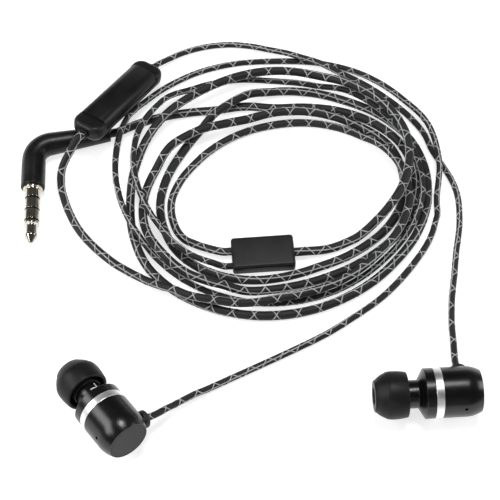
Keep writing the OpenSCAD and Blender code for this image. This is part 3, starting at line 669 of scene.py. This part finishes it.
# ---- Cable boots: a rubber strain relief with a rounded flange that sits on the boss of
# the rear shell, its foot in the boss's bore and the cord coming out of its neck.
boot_rubber, tree, shader = new_material("boot rubber", (0.006, 0.006, 0.006), 0.5)
add_mottle(tree, shader, (0.005, 0.005, 0.005), (0.009, 0.009, 0.009), (0.44, 0.56),
           grain=11000, blotch=400, bump=0.2)
foot_r = 1.15
flange_r = 1.95
boot_end = 7.2
boot_outline = rounded([
    (0, 4.25, 0), (foot_r, 4.25, 0), (foot_r, boss_top + 0.01, 0), (flange_r - 0.1, boss_top + 0.01, 0.08),
    (flange_r, 6.5, 0.42), (1.15, 6.75, 0.2), (0.95, boot_end, 0.14), (0, boot_end, 0)])
for side, place in buds:
    boot = moved(turned(boot_outline, 64), boot_turn)
    finished(f"{side}_cable_boot_skin", moved(boot, place), boot_rubber, "earphones",
             [f"{side}_cable_boot"])

# ---- Ear tips: soft black silicone, moulded in one. A dome turns back into an open skirt,
# and a core tube inside grips the nozzle behind its lip, so the tip slides off.
silicone, tree, shader = new_material("soft black silicone", (0.0095, 0.0095, 0.010), 0.48,
                                      Specular_IOR_Level=0.22)
add_mottle(tree, shader, (0.0075, 0.0075, 0.008), (0.0115, 0.0115, 0.0125), (0.40, 0.52),
           grain=12000, blotch=350, bump=0.12)
tip_r = 5
skirt = 0.7
waist = 6.18
tip_front = 13.08
widest = 9.285
web = 11.98
core_r = 3.1
grip_r = 2.45
hole_r = 1.8
rim = waist + 0.35
ledge = 0.08
flat_rim = [(hole_r, tip_front - 0.12), (hole_r + 0.06, tip_front - 0.04), (hole_r + 0.15, tip_front),
            (3.05, tip_front), (3.18, tip_front - 0.02), (3.28, tip_front - 0.08),
            (3.35, tip_front - 0.18)]
flank_from = tip_front - 0.24
flank = [(3.38 + 1.62 * (1 - (1 - k / 26) ** 2.2) - (ledge if k < 16 else 0),
          flank_from - (flank_from - widest) * k / 26) for k in range(27)]
draw = [(0.25 * (k / 8) ** 2, widest + (rim - widest) * k / 8) for k in range(1, 9)]
skirt_rim = [(4.70, waist + 0.16), (4.60, waist + 0.06), (4.46, waist + 0.02), (4.30, waist + 0.05),
             (4.14, waist + 0.16)]
dome = [(3.2 + 1.1 * math.sin(a), widest + (web - widest) * math.cos(a))
        for a in [math.radians(90 * k / 16) for k in range(16, -1, -1)]]
core = [(core_r, web), (core_r, waist + 0.06), (core_r - 0.06, waist), (grip_r + 0.06, waist),
        (grip_r, waist + 0.06), (grip_r, 11.73), (hole_r, 11.73)]
tip_outline = (flat_rim + flank + [(tip_r - inward, z) for inward, z in draw] + skirt_rim
               + [(tip_r - skirt - inward, z) for inward, z in reversed(draw)] + dome + core)
for side, place in buds:
    finished(f"{side}_tip", moved(turned(tip_outline), place), silicone, f"{side}_tip",
             [f"{side}_ear_tip"], 60)

# ---- Side letter: a white L printed on the neck of the left earbud, as a thin stem and a
# foot that follow the round of the neck.
print_white, tree, shader = new_material("white print", (0.72, 0.72, 0.71), 0.5)
add_mottle(tree, shader, (0.62, 0.62, 0.61), (0.78, 0.78, 0.77), (0.45, 0.6),
           grain=15000, blotch=900, bump=0.1)
letter = bmesh.new()
print_under = neck_r - 0.05
print_top = neck_r + 0.03
# each bar: from and to in degrees round the neck, then from and to along it
for a0, a1, z0, z1 in ((185, 213, 4.3, 4.55), (213, 218, 4.3, 5.6)):
    rows = []
    for k in range(9):
        turn = math.radians(a0 + (a1 - a0) * k / 8)
        rows.append([letter.verts.new((r * math.cos(turn), r * math.sin(turn), z))
                     for r, z in ((print_under, z0), (print_top, z0), (print_top, z1),
                                  (print_under, z1))])
    for low, high in zip(rows, rows[1:]):
        for k in range(4):
            letter.faces.new((low[k], low[(k + 1) % 4], high[(k + 1) % 4], high[k]))
    letter.faces.new(rows[0])
    letter.faces.new(rows[-1][::-1])
finished("left_side_letter", moved(letter, left_place), print_white, "earphones")


# ---- Remote: a base and a cover of satin black plastic with rounded ends, and one long
# button over the whole width between the cover's ends. The cords go into two collars.
def slab(half_x, half_y, profile, corner=10):
    """A rounded rectangle whose corner radius and height follow the profile."""
    bm = bmesh.new()
    rings = []
    for radius, z in profile:
        ring = []
        for way_x, way_y, first in ((1, 1, 0), (-1, 1, 90), (-1, -1, 180), (1, -1, 270)):
            for k in range(corner + 1):
                a = math.radians(first + 90 * k / corner)
                ring.append(bm.verts.new((way_x * half_x + radius * math.cos(a),
                                          way_y * half_y + radius * math.sin(a), z)))
        rings.append(ring)
    for low, high in zip(rings, rings[1:]):
        for k in range(len(low)):
            j = (k + 1) % len(low)
            bm.faces.new((low[k], low[j], high[j], high[k]))
    bm.faces.new(rings[0][::-1])
    bm.faces.new(rings[-1])
    bmesh.ops.remove_doubles(bm, verts=bm.verts, dist=0.0005)
    bmesh.ops.recalc_face_normals(bm, faces=bm.faces)
    return bm


remote_half_x = 11.8
remote_half_y = 1.35
remote_ball = 2.5
hollow_ball = 1.9
cover_ease = 1.15
cover_top = 2.1


def pill(ball):
    """A bar with round sides and ends, whose rounding has the ball's radius."""
    return slab(remote_half_x, remote_half_y,
                [(ball * math.cos(a), ball * math.sin(a))
                 for a in [math.radians(-90 + 180 * k / 32) for k in range(33)]])


def boxy():
    """The shell above its seam: upright sides, an eased edge and a flat top."""
    edge = [(remote_ball + cover_ease * (math.cos(a) - 1), cover_top + cover_ease * (math.sin(a) - 1))
            for a in [math.radians(90 * k / 10) for k in range(11)]]
    return slab(remote_half_x, remote_half_y, [(remote_ball, -0.6)] + edge)


def block(x0, x1, y0, y1, z0, z1):
    """An upright box between two values on each axis."""
    bm = bmesh.new()
    bmesh.ops.create_cube(bm, size=1)
    return moved(bm, Matrix.Translation(((x0 + x1) / 2, (y0 + y1) / 2, (z0 + z1) / 2))
                 @ Matrix.Diagonal((x1 - x0, y1 - y0, z1 - z0, 1)))


def edges_eased(bm, width, angle=50):
    """The sharp edges cut by a narrow bevel, so they catch the light."""
    edges = [edge for edge in bm.edges if edge.calc_face_angle(0) > math.radians(angle)]
    bmesh.ops.bevel(bm, geom=edges, offset=width, segments=2, profile=0.5, affect="EDGES",
                    clamp_overlap=True)
    return bm


def lying_x(x0, x1, radius):
    """A round bar along x with eased ends."""
    bar = turned(rounded([(0, x0, 0), (radius, x0, 0.12), (radius, x1, 0.12), (0, x1, 0)]), 48)
    return moved(bar, spun(90, "Y"))


remote_black, tree, shader = new_material("satin black remote", (0.008, 0.0084, 0.0083), 0.42,
                                          Specular_IOR_Level=0.3)
add_mottle(tree, shader, (0.0065, 0.0068, 0.0067), (0.010, 0.0104, 0.0102), (0.38, 0.46),
           grain=18000, blotch=240, bump=0.16)
button_black, tree, shader = new_material("satin black button", (0.0055, 0.0058, 0.0057), 0.38,
                                          Specular_IOR_Level=0.25)
add_mottle(tree, shader, (0.0045, 0.0047, 0.0046), (0.0075, 0.008, 0.0078), (0.35, 0.42),
           grain=18000, blotch=240, bump=0.12)

mic_hole = moved(turned([(0, -6), (0.35, -6), (0.35, 0), (0, 0)], 24), Matrix.Translation((-6, 0, 0)))
collar_from = 13.3
wide_collar_r = 1.35
slim_collar_r = 1.1
collar_slack = 0.03
button_half = 10.5
button_gap = 0.08
base = combined(pill(remote_ball), [
    ("DIFFERENCE", pill(hollow_ball)), ("DIFFERENCE", block(-20, 20, -8, 8, -0.01, 8)),
    ("UNION", lying_x(-collar_end, -collar_from, wide_collar_r)),
    ("UNION", lying_x(collar_from, collar_end, slim_collar_r)), ("DIFFERENCE", mic_hole)])
finished("remote_base_skin", moved(base, remote_place), remote_black, "earphones",
         ["remote_base"])
opening = button_half + button_gap
cover = combined(boxy(), [
    ("DIFFERENCE", pill(hollow_ball)), ("DIFFERENCE", block(-20, 20, -8, 8, -8, 0.01)),
    ("DIFFERENCE", block(-opening, opening, -8, 8, 0.4, 8)),
    ("DIFFERENCE", lying_x(-collar_end - 0.5, -collar_from + 0.3, wide_collar_r + collar_slack)),
    ("DIFFERENCE", lying_x(collar_from - 0.3, collar_end + 0.5, slim_collar_r + collar_slack))])
finished("remote_cover_skin", moved(edges_eased(cover, 0.07), remote_place), remote_black, "earphones",
         ["remote_cover"])
button = combined(moved(pill(remote_ball), Matrix.Translation((0, 0, 0.35))),
                  [("INTERSECT", block(-button_half, button_half, -8, 8, 0.75, 8))])
finished("remote_button_skin", moved(edges_eased(button, 0.1), remote_place), button_black, "button",
         ["remote_button"])

# ---- Splitter: a soft black block with eased edges, moulded over the place where the
# main cord parts into the cord of the remote and that of the left earbud.
splitter_black, tree, shader = new_material("satin black splitter", (0.011, 0.011, 0.011), 0.4,
                                            Specular_IOR_Level=0.25)
add_mottle(tree, shader, (0.009, 0.009, 0.009), (0.014, 0.014, 0.014), (0.36, 0.45),
           grain=15000, blotch=260, bump=0.16)
splitter_half_y = 4
ease = 0.7
lower_edge = [(ease * math.cos(a), ease + ease * math.sin(a))
              for a in [math.radians(-90 + 90 * k / 8) for k in range(9)]]
upper_edge = [(r, splitter_height - z) for r, z in reversed(lower_edge)]
splitter = slab(splitter_half_x - ease, splitter_half_y - ease, lower_edge + upper_edge)
finished("splitter_skin", moved(splitter, splitter_place), splitter_black, "earphones",
         ["splitter_body"])

# ---- Plug: a moulded rubber grip bent to 101 degrees, thinner to its cord end, with a
# four-contact jack: nickel-plated contacts on one stem, kept apart by black rings.
moulding_black, tree, shader = new_material("satin black moulding", (0.008, 0.0084, 0.0082), 0.34,
                                            Specular_IOR_Level=0.3)
add_mottle(tree, shader, (0.0065, 0.0068, 0.0067), (0.010, 0.0104, 0.0102), (0.3, 0.38),
           grain=15000, blotch=240, bump=0.14)
nickel, tree, shader = new_material("warm nickel", (0.68, 0.63, 0.55), 0.12, 1.0)
add_mottle(tree, shader, (0.62, 0.57, 0.49), (0.72, 0.67, 0.58), (0.09, 0.14),
           grain=12000, blotch=300, bump=0.005)
insulator_black, tree, shader = new_material("gloss black insulator", (0.006, 0.006, 0.007), 0.2)
add_mottle(tree, shader, (0.005, 0.005, 0.006), (0.008, 0.008, 0.009), (0.17, 0.24),
           grain=12000, blotch=300, bump=0.03)

bend_r = 4.6
leg = 11.5
bend = math.radians(180 - plug_angle)
arc = bend_r * bend
straight = bend_r * math.tan(bend / 2)
arm = plug_arm - straight
leg_from = arm + arc
end = leg_from + leg - straight
leg_way = Vector((math.cos(math.radians(-plug_angle)), math.sin(math.radians(-plug_angle)), 0))


def on_grip(at):
    """Point and way of the grip's middle line, from the cord end of its arm."""
    if at <= arm:
        return Vector((plug_arm - at, 0, 0)), Vector((-1, 0, 0))
    if at < leg_from:
        a = math.radians(90) + (at - arm) / bend_r
        return (Vector((straight + bend_r * math.cos(a), -bend_r + bend_r * math.sin(a), 0)),
                Vector((-math.sin(a), math.cos(a), 0)))
    return leg_way * (straight + at - arm - arc), leg_way


# The radius along the grip: a rounded cord end, an arm that widens, the bend and an even
# leg with a recess for the jack's flange.
slim_r = 1.9
bend_at_r = 2.7
leg_r = 2.75
recess_r = 2.3
cord_end = 0.34
profile = [(0, 0.001), (0, 1.2), (0, 1.62), (0.03, 1.74), (0.1, 1.83), (0.2, 1.88), (cord_end, 1.918)]
profile += [(s, slim_r + (bend_at_r - slim_r) * s / arm)
            for s in [cord_end + (arm - cord_end) * k / 24 for k in range(1, 25)]]
profile += [(arm + arc * k / 20, bend_at_r) for k in range(1, 21)]
profile += [(leg_from + s, bend_at_r + (leg_r - bend_at_r) * min(s, 1)) for s in (0.3, 0.6, 1, 2, 4, 6, 7)]
profile += [(end - 0.36, leg_r), (end - 0.3, leg_r), (end - 0.2, 2.735), (end - 0.1, 2.68),
            (end - 0.03, 2.58), (end, 2.45), (end, 2.4), (end, 2.34), (end - 0.05, recess_r),
            (end - 0.5, recess_r), (end - 0.5, 1.2), (end - 0.5, 0.001)]
finished("plug_grip", moved(swept([(*on_grip(s), r, s) for s, r in profile], 64), plug_place),
         moulding_black, "earphones", ["plug_moulding"])

jack_place = plug_place @ spun(-plug_angle, "Z") @ spun(90, "Y") @ Matrix.Translation((0, 0, 12.1))
jack_r = 1.75
stem_bore = 0.65


def banded(low, high):
    """A contact or an insulator, as a ring round the jack's stem."""
    return turned(rounded([(stem_bore, low, 0), (jack_r, low, 0.03), (jack_r, high, 0.03),
                           (stem_bore, high, 0)]), 64)


stem_from = -6.4
stem_r = 0.6
tube_r = 1.5
collar_low = -0.9
collar_r = 2.25
sleeve_end = 2.3
ring_2 = (2.8, 5.3)
ring_1 = (5.75, 8.15)
tip_at = 8.6
tip_end = 14.0
groove_r = 1.3
bulb_r = 1.48
sleeve_outline = rounded([
    (stem_bore, stem_from, 0), (tube_r, stem_from, 0), (tube_r, collar_low, 0), (collar_r, collar_low, 0),
    (collar_r, -0.1, 0.14), (jack_r, 0.05, 0.03), (jack_r, sleeve_end, 0.05), (stem_bore, sleeve_end, 0)])
contact_outline = rounded([
    (0, stem_from, 0), (stem_r, stem_from, 0), (stem_r, tip_at, 0), (jack_r, tip_at, 0.03),
    (jack_r, tip_at + 0.7, 0.12), (groove_r, tip_at + 0.95, 0.2), (groove_r, tip_end - 2.3, 0.12),
    (bulb_r, tip_end - 2.2, 0.12), (bulb_r, tip_end - 1.7, 0.3), (0.45, tip_end - 0.1, 0.25),
    (0.3, tip_end, 0.1), (0, tip_end, 0)])
for label, contact in (("jack_sleeve", turned(sleeve_outline, 64)), ("jack_ring_2", banded(*ring_2)),
                       ("jack_ring_1", banded(*ring_1)), ("jack_tip", turned(contact_outline, 64))):
    finished(label + "_skin", moved(contact, jack_place), nickel, "earphones", [label])
rings = bmesh.new()
for low, high in ((sleeve_end, ring_2[0]), (ring_2[1], ring_1[0]), (ring_1[1], tip_at + 0.05)):
    step = bpy.data.meshes.new("step")
    band = banded(low, high)
    band.to_mesh(step)
    band.free()
    rings.from_mesh(step)
    bpy.data.meshes.remove(step)
finished("jack_insulator_rings", moved(rings, jack_place), insulator_black, "earphones",
         ["jack_insulators"])

# ---- Inner pieces: the drivers, screens, circuit board, switch, microphone and the
# splitter's core stay as they are built and get the finish of their own material.
for name, nodes, dark, light, rough, metal in (
        ("nozzle screen", ["left_nozzle_screen", "right_nozzle_screen"],
         (0.22, 0.23, 0.24), (0.32, 0.33, 0.34), (0.3, 0.45), 1.0),
        ("driver frame", ["left_driver_frame", "right_driver_frame"],
         (0.38, 0.39, 0.41), (0.46, 0.47, 0.49), (0.35, 0.5), 1.0),
        ("diaphragm film", ["left_diaphragm", "right_diaphragm"],
         (0.56, 0.48, 0.30), (0.66, 0.57, 0.40), (0.25, 0.35), 0.0),
        ("enamelled copper", ["left_voice_coil", "right_voice_coil"],
         (0.58, 0.26, 0.13), (0.70, 0.34, 0.18), (0.25, 0.4), 1.0),
        ("plated magnet", ["left_magnet", "right_magnet"],
         (0.56, 0.58, 0.60), (0.64, 0.66, 0.68), (0.2, 0.35), 1.0),
        ("plain steel", ["left_yoke", "right_yoke", "tact_switch"],
         (0.42, 0.43, 0.45), (0.52, 0.53, 0.55), (0.3, 0.45), 1.0),
        ("green board", ["circuit_board"], (0.03, 0.16, 0.08), (0.05, 0.23, 0.12), (0.35, 0.5), 0.0),
        ("gilt capsule", ["mic_capsule"], (0.70, 0.60, 0.36), (0.80, 0.70, 0.44), (0.2, 0.35), 1.0),
        ("cast resin", ["splitter_core"], (0.54, 0.36, 0.14), (0.64, 0.46, 0.21), (0.3, 0.45), 0.0)):
    material, tree, shader = new_material(name, light, rough[0], metal)
    add_mottle(tree, shader, dark, light, rough, grain=12000, blotch=900, bump=0.1)
    for node in nodes:
        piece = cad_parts[node]
        piece.data.materials.clear()
        piece.data.materials.append(material)

# ---- What each cord is: where it leaves, what its far end is, how it lies and the pieces that sit on it;
# only the one to the right earbud isn't coiled. The loop only looks each cord up among those made above.
plug_pieces = ["plug_grip", "jack_sleeve_skin", "jack_ring_2_skin", "jack_ring_1_skin",
               "jack_tip_skin", "jack_insulator_rings"]
remote_pieces = ["remote_base_skin", "remote_cover_skin", "remote_button_skin", "circuit_board",
                 "tact_switch", "mic_capsule"]
for name, leaves, far_end, lay, pieces in (
        ("main_cord", at_splitter(1, 0, 0), "plug", "coiled", plug_pieces),
        ("remote_cord", at_splitter(-1, remote_cord_y, 0), "fitting", "coiled", remote_pieces),
        ("left_cord", at_boot(left_place, in_boot), "object", "coiled", ["splitter_skin", "splitter_core"]),
        ("right_cord", at_boot(right_place, in_boot), "object", "loose", [])):
    cord, line, length, diameter, threads = cords[name]

# ---- Floor, sky and lamps: a white table with a glow that only the camera, reflections
# and see-through pieces meet. The sky is dim, and four soft panels light the set.
floor_mesh = bpy.data.meshes.new("floor")
floor_mesh.from_pydata([(-4, -4, 0), (4, -4, 0), (4, 4, 0), (-4, 4, 0)], [], [(0, 1, 2, 3)])
floor = bpy.data.objects.new("floor", floor_mesh)
bpy.context.scene.collection.objects.link(floor)
white, tree, shader = new_material("white table", (0.55, 0.55, 0.55), 0.9, Specular_IOR_Level=0.0)
rays = tree.nodes.new("ShaderNodeLightPath")
seen = calc(tree, "MAXIMUM", rays.outputs["Is Camera Ray"], rays.outputs["Is Glossy Ray"])
seen = calc(tree, "MAXIMUM", seen, rays.outputs["Is Transmission Ray"])
floor_at = tree.nodes.new("ShaderNodeTexCoord")
away = tree.nodes.new("ShaderNodeVectorMath")
away.operation = "LENGTH"
tree.links.new(floor_at.outputs["Object"], away.inputs[0])
fade = tree.nodes.new("ShaderNodeMapRange")
fade.inputs["From Min"].default_value = 0.15
fade.inputs["From Max"].default_value = 0.6
fade.inputs["To Min"].default_value = 0.72
fade.inputs["To Max"].default_value = 1.0
tree.links.new(away.outputs["Value"], fade.inputs["Value"])
tree.links.new(calc(tree, "MULTIPLY", seen, fade.outputs["Result"]), shader.inputs["Emission Strength"])
shader.inputs["Emission Color"].default_value = (1, 1, 1, 1)
floor_mesh.materials.append(white)

world = bpy.data.worlds.new("sky")
bpy.context.scene.world = world
world.use_nodes = True
sky = world.node_tree
glow = sky.nodes["Background"]
sky_at = sky.nodes.new("ShaderNodeTexCoord")
sky_split = sky.nodes.new("ShaderNodeSeparateXYZ")
sky.links.new(sky_at.outputs["Generated"], sky_split.inputs["Vector"])
shade = sky.nodes.new("ShaderNodeMapRange")
shade.inputs["From Min"].default_value = 0.0
shade.inputs["From Max"].default_value = 0.5
shade.inputs["To Min"].default_value = 0.25
shade.inputs["To Max"].default_value = 0.06
sky.links.new(sky_split.outputs["Z"], shade.inputs["Value"])
sky.links.new(shade.outputs["Result"], glow.inputs["Strength"])
glow.inputs["Color"].default_value = (1, 1, 1, 1)

lit = Vector((0, 0.045, 0))
for name, at, wide, tall, power in (
        ("overhead", (0.04, 0.14, 0.55), 0.143, 0.143, 1.4),
        ("left panel", (-0.38, 0.0, 0.32), 0.42, 0.23, 1.66),
        ("right panel", (0.44, 0.10, 0.20), 0.218, 0.218, 0.77),
        ("front", (-0.05, -0.52, 0.26), 0.252, 0.252, 0.385)):
    lamp = bpy.data.lights.new(name, "AREA")
    lamp.shape = "RECTANGLE"
    lamp.size = wide
    lamp.size_y = tall
    lamp.energy = power
    holder = bpy.data.objects.new(name, lamp)
    holder.location = at
    holder.rotation_euler = (lit - Vector(at)).to_track_quat("-Z", "Y").to_euler()
    bpy.context.scene.collection.objects.link(holder)
